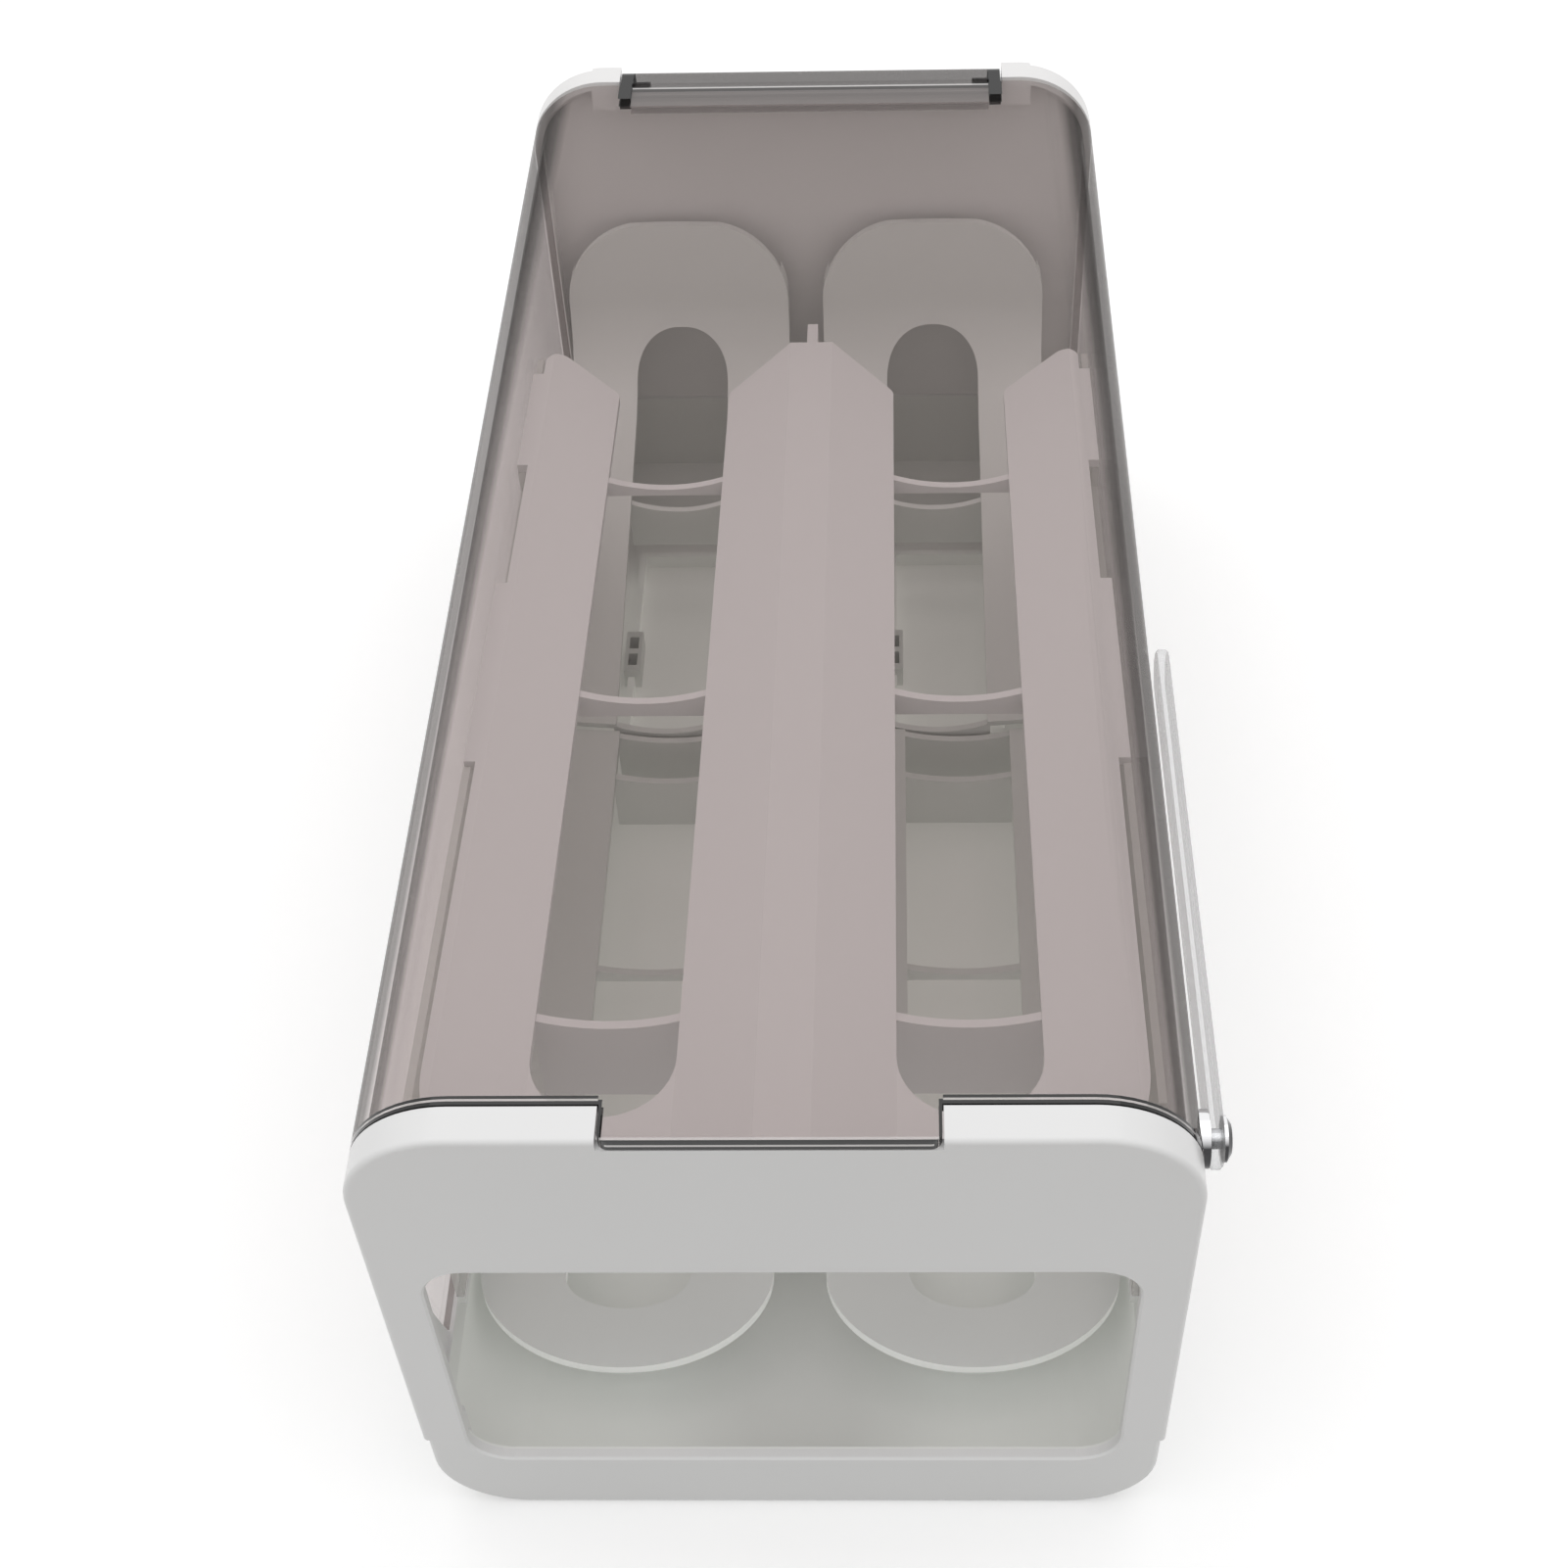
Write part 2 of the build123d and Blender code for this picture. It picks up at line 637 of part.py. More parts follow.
def rear_chute(middle):
    """Scoop of one lane, with side skirts that stand on the floor."""
    rim = rear_chute_half_width
    inner_rim = rim - rear_rim_width
    low = rear_chute_sheet
    edge = rear_chute_dish
    start = Plane(
        origin=(middle, rear_chute_front, rear_chute_start),
        x_dir=(1, 0, 0),
        z_dir=(0, -cos(rear_slope), -sin(rear_slope)),
    )
    blank = rim + 1
    with BuildPart() as chute:
        with BuildLine(Plane.YZ.offset(middle)):
            FilletPolyline(*rear_path(0), radius=rear_bend_radius)
        with BuildSketch(start):
            with BuildLine():
                ThreePointArc((-blank, edge), (0, 0), (blank, edge))
                Polyline((blank, edge), (blank, -low), (inner_rim, -low), (inner_rim, edge - low))
                ThreePointArc((inner_rim, edge - low), (0, -low), (-inner_rim, edge - low))
                Polyline((-inner_rim, edge - low), (-inner_rim, -low), (-blank, -low), (-blank, edge))
            make_face()
        sweep()
        # The scoop's upper corners are round, seen from the front
        with BuildSketch(Plane.XZ):
            with Locations((middle, 0)):
                add(arch(2 * rim, floor_thickness, rear_scoop_top[1], rear_top_radius))
        extrude(amount=length / 2, both=True, mode=Mode.INTERSECT)
        # Side skirts; an outer one clears the base's rounded corner
        for x_side in (-1, 1):
            skirt_x = middle + x_side * rim
            foot = floor_at(skirt_x)
            if foot > floor_thickness:
                foot += cover_seat_gap
            with BuildSketch(Plane.YZ.offset(skirt_x)):
                with BuildLine():
                    path = rear_path(skirt_drop)
                    FilletPolyline(*path, radius=rear_bend_radius)
                    Polyline(path[-1], (path[-1][0], foot), (path[0][0], foot), path[0])
                make_face()
                # The skirts end where the scoop's round corners start
                with Locations((rear_y, rear_scoop_top[1])):
                    Rectangle(length, 2 * rear_top_radius, mode=Mode.SUBTRACT)
            extrude(amount=-x_side * rear_rim_width)
        with BuildSketch(Plane.XZ):
            with Locations((middle, 0)):
                add(arch(rear_slot_width, 0, rear_slot_top, rear_slot_width / 2 - 1))
        extrude(amount=length / 2, both=True, mode=Mode.SUBTRACT)
        for bar_y, bar_depth in rear_bars:
            top = rear_ramp_z(bar_y) - chute_bar_drop
            half_width = rear_slot_width / 2 + bar_root
            with BuildSketch(Plane.XZ.offset(-bar_y)):
                add(concave_bar(middle, half_width, top, rear_bar_sag, top - bar_depth))
            extrude(amount=-chute_bar_thickness)
    return chute.part


for middle, tag in ((left_rear_x, "left"), (right_rear_x, "right")):
    save(rear_chute(middle), f"rear_chute_{tag}")


# Front chutes: dished shelves with a round lip behind the window
front_slope = radians(front_chute_tilt)


def front_shelf_z(y):
    """Height of the shelf's middle at y."""
    return front_chute_height + y * tan(front_slope)


def front_chute(side):
    """Shelf of one lane, standing on a cross wall and a front leg."""
    middle = side * front_chute_centre
    rim = front_chute_half_width
    low = front_chute_sheet
    edge = front_chute_dish
    across = Plane(
        origin=(middle, front_chute_rear, front_shelf_z(front_chute_rear)),
        x_dir=(1, 0, 0),
        z_dir=(0, -cos(front_slope), -sin(front_slope)),
    )
    blank = rim + 1
    with BuildPart() as chute:
        with BuildSketch(across):
            with BuildLine():
                ThreePointArc((-blank, edge), (0, 0), (blank, edge))
                Line((blank, edge), (blank, edge - low))
                ThreePointArc((blank, edge - low), (0, -low), (-blank, edge - low))
                Line((-blank, edge - low), (-blank, edge))
            make_face()
        extrude(amount=front_chute_rear - front_chute_tip + 5)
        # Plan outline with the round lip and the long slot, which runs out at the rear
        lip_centre = front_chute_tip + front_lip_depth
        slot_centre = front_slot_tip + front_slot_depth
        with BuildSketch(Plane.XY):
            with Locations((middle, (lip_centre + front_chute_rear) / 2)):
                Rectangle(2 * rim, front_chute_rear - lip_centre)
            with Locations((middle, lip_centre)):
                Ellipse(rim, front_lip_depth)
            with Locations((middle, (slot_centre + rear_y) / 2)):
                Rectangle(2 * front_slot_half_width, rear_y - slot_centre, mode=Mode.SUBTRACT)
            with Locations((middle, slot_centre)):
                Ellipse(front_slot_half_width, front_slot_depth, mode=Mode.SUBTRACT)
        extrude(amount=seam_height, mode=Mode.INTERSECT)
        for bar_y, stands in front_bars:
            top = front_shelf_z(bar_y) - chute_bar_drop
            half_width = front_slot_half_width + bar_root
            foot = floor_thickness if stands else top - short_bar_depth
            with BuildSketch(Plane.XZ.offset(-bar_y)):
                add(concave_bar(middle, half_width, top, front_bar_sag, foot))
            extrude(amount=-chute_bar_thickness)
        leg_top = front_shelf_z(front_leg_y) - low + front_leg_root
        with BuildSketch(Plane.XZ.offset(-front_leg_y)):
            with Locations((middle, (leg_top + floor_thickness) / 2)):
                Rectangle(front_leg_width, leg_top - floor_thickness)
        extrude(amount=-chute_bar_thickness)
    return chute.part


for side, tag in ((-1, "left"), (1, "right")):
    save(front_chute(side), f"front_chute_{tag}")


# Clips that stand in the gaps of the pens, each with two square pockets
for clip_x, tag in zip(clip_middles, ("left", "right")):
    with BuildPart() as pen_clip:
        with BuildSketch(Plane.XY.offset(floor_thickness)):
            with Locations((clip_x, clip_y)):
                Rectangle(clip_width, clip_length)
        extrude(amount=clip_height)
        with BuildSketch(Plane.XY.offset(floor_thickness + clip_height)):
            with Locations((clip_x, clip_y)):
                with GridLocations(0, clip_hole_pitch, 1, 2):
                    Rectangle(*clip_hole)
        extrude(amount=-clip_hole_depth, mode=Mode.SUBTRACT)
    save(pen_clip.part, f"pen_clip_{tag}")


# Swing arm on the right side of the cover: boss, arm, screw with its knob, and nut
boss_face = cover_side + boss_thickness
arm_inner = boss_face + stack_gap
arm_outer = arm_inner + arm_thickness
knob_inner = arm_outer + stack_gap
nut_outer = cover_side - cover_wall - nut_seat_gap

with BuildPart() as pivot_boss:
    with BuildSketch(Plane.YZ.offset(boss_face)):
        with Locations((pivot_y, pivot_z)):
            Circle(boss_radius)
            Circle(screw_radius + running_gap, mode=Mode.SUBTRACT)
    extrude(amount=-boss_thickness - cover_wall)
    # Its inner face follows the cover's rounded side
    with BuildSketch(Plane.XZ):
        clear_width = width + 2 * stack_gap
        add(arch(clear_width, 0, height + stack_gap, corner_radius + stack_gap))
    extrude(amount=length, both=True, mode=Mode.SUBTRACT)
save(pivot_boss.part, "pivot_boss")

with BuildPart() as swing_arm:
    with BuildSketch(Plane.YZ.offset(arm_inner)):
        with Locations((pivot_y + arm_length / 2, pivot_z)):
            SlotCenterToCenter(arm_length, arm_width)
    extrude(amount=arm_thickness)
    chamfer(swing_arm.edges().filter_by(Axis.X, reverse=True), arm_bevel)
    with BuildSketch(Plane.YZ.offset(arm_inner)):
        with Locations((pivot_y, pivot_z)):
            Circle(screw_radius + running_gap)
    extrude(amount=arm_thickness, mode=Mode.SUBTRACT)
save(swing_arm.part, "swing_arm")

# The screw is turned: a shank with a bevelled knob
screw_end = nut_outer - nut_thickness - screw_point
knob_top = knob_inner + knob_thickness
with BuildPart() as pivot_screw:
    with BuildSketch(Plane(origin=(0, pivot_y, pivot_z), x_dir=(1, 0, 0), z_dir=(0, -1, 0))):
        with BuildLine():
            Polyline(
                (knob_top, 0),
                (screw_end, 0),
                (screw_end, screw_radius),
                (knob_inner, screw_radius),
                (knob_inner, knob_radius),
                (knob_inner + knob_rim, knob_radius),
                (knob_top, knob_face_radius),
                close=True,
            )
        make_face()
    revolve(axis=Axis((0, pivot_y, pivot_z), (1, 0, 0)))
save(pivot_screw.part, "pivot_screw")

with BuildPart() as pivot_nut:
    with BuildSketch(Plane.YZ.offset(nut_outer)):
        with Locations((pivot_y, pivot_z)):
            RegularPolygon(nut_radius, 6)
            Circle(screw_radius + running_gap, mode=Mode.SUBTRACT)
    extrude(amount=-nut_thickness)
save(pivot_nut.part, "pivot_nut")
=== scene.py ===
# %% [markdown]
# # Two-tier rolling egg dispenser
#
# The object is a box with two floors of egg lanes. A smoked clear cover closes it, white panels frame
# its ends, and an open window at the front lets eggs out. The solids come from the engineering model,
# already at their real size and place, so this lesson is about finishes and light, and no piece is
# modelled anew.
#
# Everything is in metres: +Z is up, -Y is the front, and the origin is the middle of the underside.
# In the shaders below, `east`, `north` and `up` are the X, Y and Z of a point on the object.

# %% Load the fixed frame
import math
import bpy
from mathutils import Matrix, Vector

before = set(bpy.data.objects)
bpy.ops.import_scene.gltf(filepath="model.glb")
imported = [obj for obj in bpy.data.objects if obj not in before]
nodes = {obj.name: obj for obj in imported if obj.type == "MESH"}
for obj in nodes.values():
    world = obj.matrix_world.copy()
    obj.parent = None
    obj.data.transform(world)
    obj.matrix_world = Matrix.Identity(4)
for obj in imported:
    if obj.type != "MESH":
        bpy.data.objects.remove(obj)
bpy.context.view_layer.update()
mm = 0.001

# %% [markdown]
# ## A small language for shaders
#
# Node trees are tiring to wire by hand. A thin class around a socket lets shader maths read like
# ordinary maths: `mask * 0.5 + 0.1` adds the Math nodes by itself. Comparisons give masks of 0 and 1,
# a product of masks means "and", and a sum means "or".


# %% Sockets that do maths
class Wire:
    """One output socket in a node tree, on which Python's operators add Math nodes."""

    def __init__(self, tree, socket):
        self.tree = tree
        self.socket = socket

    def maths(self, operation, *others):
        made = self.tree.nodes.new("ShaderNodeMath")
        made.operation = operation
        for slot, value in zip(made.inputs, (self, *others)):
            plug(self.tree, slot, value)
        return Wire(self.tree, made.outputs[0])

    def __add__(self, other):
        return self.maths("ADD", other)

    __radd__ = __add__

    def __mul__(self, other):
        return self.maths("MULTIPLY", other)

    __rmul__ = __mul__

    def __sub__(self, other):
        return self.maths("SUBTRACT", other)

    def __rsub__(self, other):
        return (self * -1.0).maths("ADD", other)

    def __gt__(self, other):
        return self.maths("GREATER_THAN", other)

    def __lt__(self, other):
        return self.maths("LESS_THAN", other)

    def __abs__(self):
        return self.maths("ABSOLUTE")

    def __pow__(self, other):
        return self.maths("POWER", other)

    def at_most(self, limit):
        return self.maths("MINIMUM", limit)

    def kept_in_range(self):
        """The value held between 0 and 1."""
        return self.at_most(1.0).maths("MAXIMUM", 0.0)


def plug(tree, slot, value):
    """Puts a Wire, a number or a colour into an input socket."""
    if isinstance(value, Wire):
        tree.links.new(value.socket, slot)
    elif slot.type == "RGBA":
        slot.default_value = (*value, 1.0)
    else:
        slot.default_value = value


print("operators ready")

# %% [markdown]
# ## Nodes, and finishes made of them
#
# Every other node comes from one method, which takes the node's type, its settings and the values or
# links of its sockets. A `Finish` is a material with one Principled shader, and a few short words for
# what finishes need again and again: a place, a direction, an even noise, a blend of two colours.


# %% A tree that makes any node
class Graph:
    """A node tree, with one method that adds any node."""

    def __init__(self, tree):
        self.tree = tree

    def node(self, kind, settings=None, inputs=None, out=0):
        """A node from its type, its settings, and then the values or links of its sockets."""
        made = self.tree.nodes.new(kind)
        for key, value in (settings or {}).items():
            setattr(made, key, value)
        for key, value in (inputs or {}).items():
            plug(self.tree, made.inputs[key], value)
        return Wire(self.tree, made.outputs[out])

    def axes(self, vector):
        """The three numbers of a vector."""
        return [self.node("ShaderNodeSeparateXYZ", inputs={0: vector}, out=i) for i in range(3)]

    def seen_directly(self):
        """1 for what is seen straight, in a reflection or through glass; 0 for bounced light."""
        kinds = ("Is Camera Ray", "Is Glossy Ray", "Is Transmission Ray")
        return sum(self.node("ShaderNodeLightPath", out=kind) for kind in kinds).kept_in_range()


# %% A finish is one material under construction
class Finish(Graph):
    """A material with one Principled shader, made by short expressions."""

    def __init__(self, name, **constants):
        self.material = bpy.data.materials.new(name)
        self.material.use_nodes = True
        super().__init__(self.material.node_tree)
        self.shader = self.tree.nodes["Principled BSDF"]
        self.output = self.tree.nodes["Material Output"]
        for socket, value in constants.items():
            self.set(socket.replace("_", " "), value)

    def set(self, socket, value):
        plug(self.tree, self.shader.inputs[socket], value)

    def place(self):
        """Object coordinates, in metres."""
        return self.node("ShaderNodeTexCoord", out="Object")

    def direction(self):
        """The way the surface faces, as three numbers."""
        return self.axes(self.node("ShaderNodeTexCoord", out="Normal"))

    def edge_on(self):
        """0 where the surface is seen face-on, 1 where it is seen edge-on, as gloss and glass need."""
        return self.node("ShaderNodeLayerWeight", inputs={"Blend": 0.5}, out="Facing")

    def noise(self, scale, detail=3.0, stretch=None):
        """Even noise in cells per metre, or streaks where a stretch is given for each axis."""
        vector = self.place()
        if stretch:
            vector = self.node("ShaderNodeMapping", inputs={"Vector": vector, "Scale": stretch})
        return self.node(
            "ShaderNodeTexNoise", inputs={"Vector": vector, "Scale": scale, "Detail": detail}
        )

    def blend(self, factor, first, second):
        """A colour between two, by a factor."""
        return self.node(
            "ShaderNodeMix", {"data_type": "RGBA"}, {0: factor, 6: first, 7: second}, out=2
        )

    def bump(self, height, strength, distance):
        """Small relief: a height map that only bends the normal."""
        relief = {"Height": height, "Strength": strength, "Distance": distance}
        self.set("Normal", self.node("ShaderNodeBump", inputs=relief))


print("finish class ready")

# %% [markdown]
# ## White moulded plastic
#
# The end panels, the base and the lanes are glossy mouldings. Real ones are never one flat colour: the
# surface waves a little where the plastic cooled, and gloss varies. One way is a texture painted by
# hand, but noise on object coordinates needs no unwrapping and has no seams. Three sizes of it do the
# work: the largest tints, the middle one changes gloss, and the finest is relief.


# %% The moulded finish
def moulded(name, colour, gloss, cloudiness=0.02, coat=0.0):
    """Moulded plastic: a cloudy tint, uneven gloss and a faint wavy skin."""
    finish = Finish(name, Coat_Weight=coat, Coat_Roughness=0.15, IOR=1.46)
    cloud = finish.noise(16.0, 1.0)
    patch = finish.noise(55.0, 2.0)
    skin = finish.noise(260.0, 2.0)
    shade = tuple(level * (1.0 - 2.0 * cloudiness) for level in colour)
    finish.tint = finish.blend(cloud, shade, colour)
    finish.set("Base Color", finish.tint)
    finish.set("Roughness", (patch * 0.06 + (gloss - 0.03)).kept_in_range())
    finish.bump(skin * 0.5 + cloud * 0.5, 0.05, 0.4 * mm)
    return finish


white_shell = moulded("white_shell", (0.872, 0.87, 0.868), 0.3, coat=0.2)
rear_white = moulded("rear_white", (0.915, 0.905, 0.90), 0.3, coat=0.2)
warm_tray = moulded("warm_tray", (0.84, 0.83, 0.83), 0.38, cloudiness=0.012)
print("white finishes:", [m.name for m in bpy.data.materials])

# %% [markdown]
# ## The base
#
# Its outside is as white as the panels, but inside, the floor reads grey-green. Two materials on two
# sets of faces would need the mesh to be cut, and the solids stay as they are. So a mask made from
# object coordinates tells the inside from the outside.

# %% The base's two tones
base_white = moulded("base_white", (0.87, 0.872, 0.868), 0.3, coat=0.15)
east, north, up = base_white.axes(base_white.place())
inner_half_width, inner_half_length = 79.5 * mm, 183.5 * mm
floor_underside, wall_top = 2.5 * mm, 30.5 * mm
between_walls = (abs(east) < inner_half_width) * (abs(north) < inner_half_length)
inside = between_walls * (up > floor_underside) * (up < wall_top)
base_white.set("Base Color", base_white.blend(inside, base_white.tint, (0.905, 0.915, 0.89)))
print("the inside is", round(2 * inner_half_width / mm, 1), "mm wide")

# %% [markdown]
# ### Light through thin walls
#
# White plastic 2.5 mm thick isn't opaque: daylight comes through it, so in the photograph the floor
# stays light even under the chutes. Subsurface scattering would show this, slowly and with noise.
# A faint glow does it too: beside the walls and at the back, and none in the middle of the window.

# %% The floor's glow
dark_half_width, walls_glow_ends = 12.0 * mm, 120.0 * mm
window_shade_ends, glow_ends, glow_top = -118.0 * mm, 138.0 * mm, 20.0 * mm
beside_walls = ((abs(east) - dark_half_width) * 40.0).kept_in_range() * (north < walls_glow_ends)
behind_window = ((north - window_shade_ends) * 30.0).kept_in_range()
far_back = behind_window * ((glow_ends - north) * 60.0).kept_in_range()
glow = inside * (beside_walls * 0.5 + far_back).kept_in_range() * (up < glow_top)
base_white.set("Emission Color", base_white.blend(glow, (0.0, 0.0, 0.0), (0.97, 1.0, 0.94)))
base_white.set("Emission Strength", 0.115)
print("the glow ends", round(glow_ends / mm), "mm behind the middle")

# %% [markdown]
# ## Chutes
#
# The lower lanes are a slightly greener white. Their front lips show a bright rim in the window,
# because a thin edge gathers light; it is a painted highlight, a lighter colour and a faint glow on the
# upright faces near the front, which are found by their direction.

# %% The chutes' finish
pale_chute = moulded("pale_chute", (0.875, 0.89, 0.87), 0.34, cloudiness=0.01)
lip_rear, lip_bottom = -120.0 * mm, 16.0 * mm
north, up = pale_chute.axes(pale_chute.place())[1:]
towards_up = pale_chute.direction()[2]
# painted highlight: a lighter colour and a faint glow on the lips' upright faces
lip_highlight = (abs(towards_up) < 0.5) * (north < lip_rear) * (up > lip_bottom)
pale_chute.set("Base Color", pale_chute.blend(lip_highlight, pale_chute.tint, (0.97, 0.975, 0.96)))
pale_chute.set("Emission Color", pale_chute.blend(lip_highlight, (0.0, 0.0, 0.0), (0.97, 1.0, 0.95)))
pale_chute.set("Emission Strength", 0.12)
print("lips are in front of", round(lip_rear / mm), "mm")

# %% [markdown]
# ## Seeing through plastic
#
# Window-clear plastic can be made as glass, with light bent at both faces, but a thin wall hardly bends
# what is behind it, and bent light makes renders noisy. So the clear pieces mix a tinted Transparent
# shader with a glossy one. A second, darker tint stands for the long way that light takes through
# plastic at a low angle, which plain transparency doesn't know of.


# %% Clear shader
def see_through(finish, tint, share, deep_tint=None, depth=0.0):
    """Mixes the finish's shader over a tinted clear one, by share; depth brings in a darker tint."""

    def clear(colour):
        return finish.node("ShaderNodeBsdfTransparent", inputs={"Color": colour})

    def mix(factor, first, second):
        return finish.node("ShaderNodeMixShader", inputs={0: factor, 1: first, 2: second})

    through = clear(tint)
    if deep_tint:
        through = mix(depth, through, clear(deep_tint))
    own = Wire(finish.tree, finish.shader.outputs[0])
    plug(finish.tree, finish.output.inputs["Surface"], mix(share, through, own))


print("clear shader ready")

# %% [markdown]
# ## The smoked cover
#
# The cover is one bent sheet: a flat top, two rounded shoulders and two flat sides. Seen from above it
# is clear brown. Towards the outline, the shoulders are looked through lengthwise and turn into a
# cool grey band, and the sides darken at a low angle. Towards the back the sides are darker still: that
# is painted shade, for the shaded rear panel seen through them. `edge_on` is how nearly the surface is
# seen from its edge. The way a face points across the box tells shoulders, sides and top apart.

# %% Where light takes the long way
smoked = Finish("smoked_clear", Roughness=0.05, IOR=1.49)
east, north, up = smoked.axes(smoked.place())
across = abs(smoked.direction()[0])
shoulder_begins, side_begins = 0.35, 0.985
rear_shade_from = 40.0 * mm
edge_on = smoked.edge_on()
on_shoulder = (across > shoulder_begins) * (across < side_begins)
on_side = across > side_begins
outline = ((edge_on - 0.6) * 10.0).kept_in_range() * on_shoulder
# painted shade: the sides darken towards the rear, over the shaded rear panel behind them
painted_rear_shade = ((north - rear_shade_from) * 2.0).kept_in_range() * (edge_on > 0.7)
side = ((edge_on - 0.8) * 5.0 + painted_rear_shade).kept_in_range().at_most(0.5) * on_side
print("shoulders point across by", shoulder_begins, "to", side_begins)

# %% [markdown]
# ### What the cover mirrors
#
# A clear sheet mirrors a little everywhere and more at a low angle. On the shoulders, slightly wavy
# from moulding, the room is drawn out into soft streaks along the box, so a noise that is stretched
# along the box varies the mirrored share there.

# %% Mirrored light
face_on_share = 0.045
ripple = smoked.noise(1.0, 1.0, stretch=(140.0, 6.0, 60.0))
streaks = ((ripple - 0.5) * 3.0).kept_in_range() * on_shoulder * (edge_on > 0.3) * 0.14
veil = (edge_on**16.0 * 1.6 + face_on_share).at_most(0.32) + streaks
print("mirrored share, face-on:", face_on_share)

# %% [markdown]
# ### Cut edges
#
# Light runs inside a clear sheet and leaves at its cut edges, so they show as dark lines from above.
# The front edge swings about the hinge with the cover, and every point of it is equally far from the
# hinge's axis. That distance finds the edge, along the flat top and round both shoulders. The tongue's
# outline, the rear and lower edges, the line along the barrel and its two end webs are found by
# place.

# %% Dark lines of the front edge
hinge_north, hinge_up = 181.5 * mm, 146.0 * mm
cover_reach = 359.5 * mm
tongue_half, tongue_inner, tongue_end = 32.2 * mm, 31.4 * mm, -185.5 * mm
outer_line_inside = cover_reach - 1.2 * mm
inner_line_inside, inner_line_outside = cover_reach - 2.4 * mm, cover_reach - 1.7 * mm
reach = ((north - hinge_north) ** 2.0 + (up - hinge_up) ** 2.0) ** 0.5
from_middle = abs(east)
two_lines = (reach > outer_line_inside) + (reach > inner_line_inside) * (reach < inner_line_outside)
fading = ((up - 90.0 * mm) * 30.0).kept_in_range() * 0.95 + 0.05
front_edge = two_lines * (reach < cover_reach) * (from_middle > tongue_half) * fading
print("front edge lies", round(cover_reach / mm, 1), "mm from the hinge")

# %% Dark lines of the tongue, the rear and the barrel
tongue_root, rear_line, rear_line_bottom = -176.5 * mm, 176.4 * mm, 128.0 * mm
sheet_end, barrel_start, web_front = 177.2 * mm, 174.8 * mm, 169.0 * mm
barrel_half, web_outer = 51.4 * mm, 55.2 * mm
tongue_sides = (from_middle > tongue_inner) * (from_middle < tongue_half) * (north < tongue_root)
tongue_front = (north < tongue_end) * (from_middle < tongue_half)
beside_webs = (from_middle > web_outer) * (up > rear_line_bottom)
rear_edge = (north > rear_line) * (north < sheet_end) * beside_webs
lower_edge = up < 32.2 * mm
webs = (from_middle > barrel_half) * (from_middle < web_outer) * (north > web_front)
along_barrel = from_middle < barrel_half
barrel_line = (north > barrel_start - 1.6 * mm) * (north < barrel_start) * along_barrel
dark = front_edge + tongue_sides + tongue_front + webs
dark = dark + rear_edge * 0.7 + lower_edge * 0.1 + barrel_line * 0.8
dark = dark.kept_in_range()
print("barrel is", round(2 * barrel_half / mm, 1), "mm long between its end webs")

# %% [markdown]
# ### Barrel and bright lines
#
# The hinge barrel is a solid rod of the same plastic, so it is darker than the sheet. The band in front
# of it, where the sheet is stepped, is painted lighter and milkier: painted light over the shade that
# shows through it. Thin lines that catch the light are painted highlights: between the front edge's two
# dark lines, above the tongue's edge and halfway down it, and along the barrel.

# %% Barrel and bright lines
barrel_underside, band_front = 140.5 * mm, 165.0 * mm
tongue_face, glint_low, glint_high = -185.9 * mm, 148.5 * mm, 149.1 * mm
barrel = (north > barrel_start) * (up > barrel_underside) * along_barrel
# painted light: the band is lifted with a lighter, milkier mix
lightened_band = (north > band_front) * (north < barrel_start) * along_barrel
# painted highlights: thin pale lines on the front edge, the tongue and the barrel
between_lines = (reach > inner_line_outside) * (reach < outer_line_inside)
bright_edge = between_lines * (up > 120.0 * mm) * (from_middle > tongue_half)
on_tongue = from_middle < tongue_inner
bright_tongue = (north > tongue_end) * (north < tongue_end + 0.6 * mm) * on_tongue
tongue_glint = (north < tongue_face) * (up > glint_low) * (up < glint_high) * on_tongue
bright_barrel = (north > barrel_start) * (north < barrel_start + 0.7 * mm) * along_barrel
painted_highlights = (bright_edge + bright_tongue + bright_barrel + tongue_glint).kept_in_range()
print("the band is", round((barrel_start - band_front) / mm, 1), "mm wide")

# %% [markdown]
# ### Put the cover together
#
# The base colour is the smoke, darker in the barrel, black on cut edges and pale on the painted
# highlights.
# `share` is how much of the glossy shader shows over the clear one, and `depth` how much of the
# darker tint.

# %% The smoked cover
smoke_tint = (0.905, 0.88, 0.876)
smoke_deep = (0.42, 0.415, 0.41)
body = smoked.blend(barrel, (0.26, 0.237, 0.23), (0.05, 0.048, 0.047))
edged = smoked.blend(dark, body, (0.012, 0.012, 0.012))
smoked.set("Base Color", smoked.blend(painted_highlights, edged, (0.75, 0.73, 0.72)))
share = veil + dark + barrel * 0.28 + lightened_band * 0.6 + painted_highlights * 0.4
depth = outline + side + barrel * 0.6
see_through(smoked, smoke_tint, share.kept_in_range(), smoke_deep, depth.kept_in_range())
print("one wall has two faces and lets through:", [round(level**2, 3) for level in smoke_tint])

# %% [markdown]
# ## Frosted guides
#
# The walls beside the lower lanes let light through but no clear picture. A real frosted sheet
# scatters light inside. Here a rough white shader covers a little under half of a clear one, slightly
# uneven, which looks the same at this distance and renders clean.

# %% Frosted guides
frosted = Finish("frosted_guide", Base_Color=(0.9, 0.9, 0.885), Roughness=0.4, IOR=1.46)
thinnest, uneven = 0.42, 0.04
see_through(frosted, (0.97, 0.97, 0.955), frosted.noise(60.0, 1.0) * uneven + thinnest)
print("guides covered by", thinnest, "to", thinnest + uneven)

# %% [markdown]
# ## The clear arm
#
# The arm is the same kind of plastic without the smoke. Against the white floor it shows mainly by the
# pale streaks along it, which are painted highlights, and by its mirror-like edges.

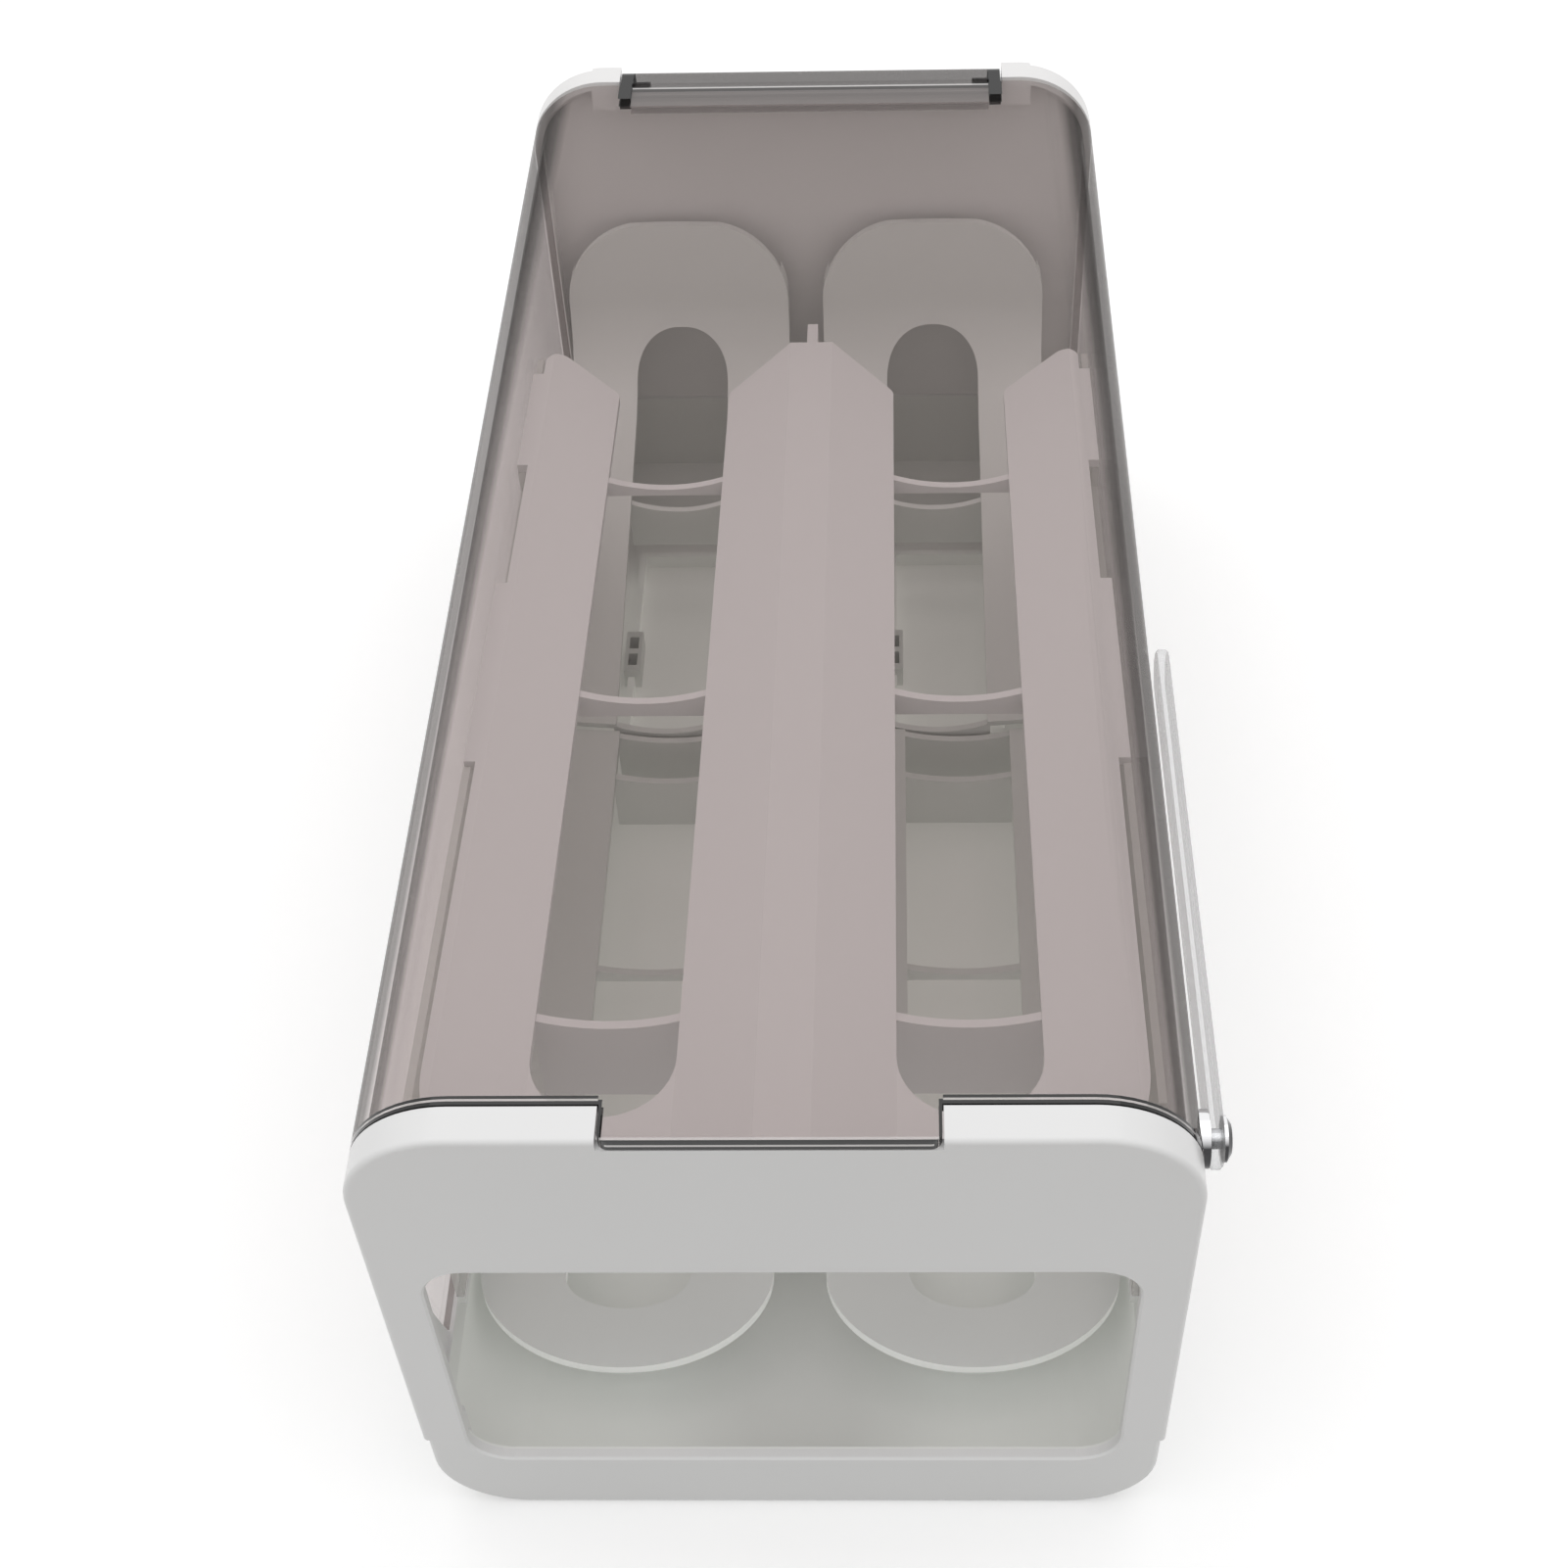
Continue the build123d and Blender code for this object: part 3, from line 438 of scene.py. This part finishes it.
# %% The clear arm
clear_arm = Finish("clear_arm", Base_Color=(0.86, 0.865, 0.87), Roughness=0.08, IOR=1.49)
# painted highlights: streaks along the arm where more of the pale shader shows
highlight_streaks = clear_arm.noise(1.0, stretch=(300.0, 12.0, 420.0))
mirror = clear_arm.edge_on() ** 5.0 * 0.8 + face_on_share
see_through(clear_arm, (0.965, 0.968, 0.972), (mirror + highlight_streaks * 0.2).kept_in_range())
print("arm mirrors", face_on_share, "face-on")

# %% [markdown]
# ## Plated screw and steel pins
#
# Plated metal shows the room: pale from above, dark from the side, where a studio is black. In an all
# white scene it would turn white and flat, so its colour follows the way each face points. Fine noise
# in the roughness gives the hairlines of polishing.

# %% Metals
plated = Finish("plated", Metallic=1.0)
towards_up = plated.direction()[2]
not_on_top = ((0.85 - towards_up) * 4.0).kept_in_range()
upright = not_on_top * ((towards_up + 0.9) * 3.0).kept_in_range()
plated.set("Base Color", plated.blend(upright, (0.9, 0.9, 0.91), (0.06, 0.06, 0.062)))
plated.set("Roughness", plated.noise(600.0, 4.0) * 0.12 + 0.05)
steel = Finish("plain_steel", Metallic=1.0, Base_Color=(0.56, 0.56, 0.57))
steel.set("Roughness", steel.noise(500.0, 4.0) * 0.2 + 0.25)
print("metals:", plated.material.name, steel.material.name)

# %% [markdown]
# ## Hand out the finishes
#
# Each solid keeps its mesh and its place, and only the material in its slot changes.

# %% Give every solid its finish
finishes = {
    "front_panel": white_shell,
    "rear_panel": rear_white,
    "base_tray": base_white,
    "cover": smoked,
    "upper_tray": warm_tray,
    "centre_guide": warm_tray,
    "pivot_boss": plated,
    "pivot_screw": plated,
    "pivot_nut": plated,
    "swing_arm": clear_arm,
}
for side_name in ("left", "right"):
    finishes["side_guide_" + side_name] = frosted
    finishes["hinge_pin_" + side_name] = steel
    for piece in ("rear_chute_", "front_chute_", "pen_clip_"):
        finishes[piece + side_name] = pale_chute
for name, finish in finishes.items():
    for slot in nodes[name].material_slots:
        slot.material = finish.material
print("painted:", len(finishes), "of", len(nodes))

# %% [markdown]
# ## Floor
#
# The photograph's background is pure white. A floor that bright would throw light up at the object
# and flatten it. So the floor shows white to the camera, also in reflections, but for soft bounced
# light it is a mid grey, which leaves the upright faces a calm grey.

# %% Floor
floor_size = 12.0
bpy.ops.object.select_all(action="DESELECT")
bpy.ops.mesh.primitive_plane_add(size=floor_size, location=(0, 0, 0))
floor = bpy.context.object
floor.name = "floor"
floor_finish = Finish("floor", Roughness=0.9, Emission_Strength=0.25)
seen = floor_finish.seen_directly()
floor_finish.set("Base Color", floor_finish.blend(seen, (0.36, 0.355, 0.34), (0.95, 0.95, 0.95)))
floor_finish.set("Emission Color", floor_finish.blend(seen, (0.0, 0.0, 0.0), (1.0, 1.0, 1.0)))
floor.data.materials.append(floor_finish.material)
print("floor:", floor_size, "m square")

# %% [markdown]
# ## Sky and lamp
#
# The light is that of a product studio: an even white surround, and one wide soft lamp overhead that
# makes the tops of the rims brighter than the upright faces. The lamp's strength was set by comparing
# the grey of the front panel and the white of its rim with the photograph.

# %% Sky and lamp
world = bpy.data.worlds.new("studio")
bpy.context.scene.world = world
world.use_nodes = True
surround = Graph(world.node_tree)
sky = world.node_tree.nodes["Background"]
plug(world.node_tree, sky.inputs["Color"], (1.0, 1.0, 1.0))
lighting = 0.72
sky_strength = surround.seen_directly() * (1.0 - lighting) + lighting
plug(world.node_tree, sky.inputs["Strength"], sky_strength)

light = bpy.data.lights.new("overhead", "AREA")
light.size = 1.8
light.energy = 6.5
lamp = bpy.data.objects.new("overhead", light)
bpy.context.scene.collection.objects.link(lamp)
lamp.location = (0.0, 0.1, 1.6)
towards_box = Vector((0, 0, 0.05)) - lamp.location
lamp.rotation_euler = towards_box.to_track_quat("-Z", "Y").to_euler()
print("lamp:", light.energy, "W")

# %% [markdown]
# ## Camera
#
# The photograph was taken from above the front, a little right of the middle. The place, the two
# directions and the focal length were worked out from the object's straight edges in the picture.

# %% Camera
pitch, yaw, roll = 0.8343, 0.0335, -0.0309
camera_place = (0.02422, -0.42203, 0.50835)
level_forward = Vector((-math.sin(yaw), math.cos(yaw), 0.0))
level_right = Vector((math.cos(yaw), math.sin(yaw), 0.0))
forward = level_forward * math.cos(pitch) - Vector((0, 0, 1)) * math.sin(pitch)
upward = level_right.cross(forward)
right = level_right * math.cos(roll) + upward * math.sin(roll)
top = upward * math.cos(roll) - level_right * math.sin(roll)
camera_data = bpy.data.cameras.new("camera")
camera_data.sensor_width = 36.0
camera_data.lens = 53.04
camera_data.shift_x = -0.0397
camera_data.clip_start = 0.01
camera = bpy.data.objects.new("camera", camera_data)
bpy.context.scene.collection.objects.link(camera)
turned = Matrix((right, top, -forward)).transposed().to_4x4()
camera.matrix_world = Matrix.Translation(camera_place) @ turned
bpy.context.scene.camera = camera
bpy.context.scene.view_settings.view_transform = "Standard"
print("camera:", [round(v, 3) for v in camera_place], "lens", camera_data.lens, "mm")

# %% [markdown]
# ## The end

# %% End
print("scene ready")
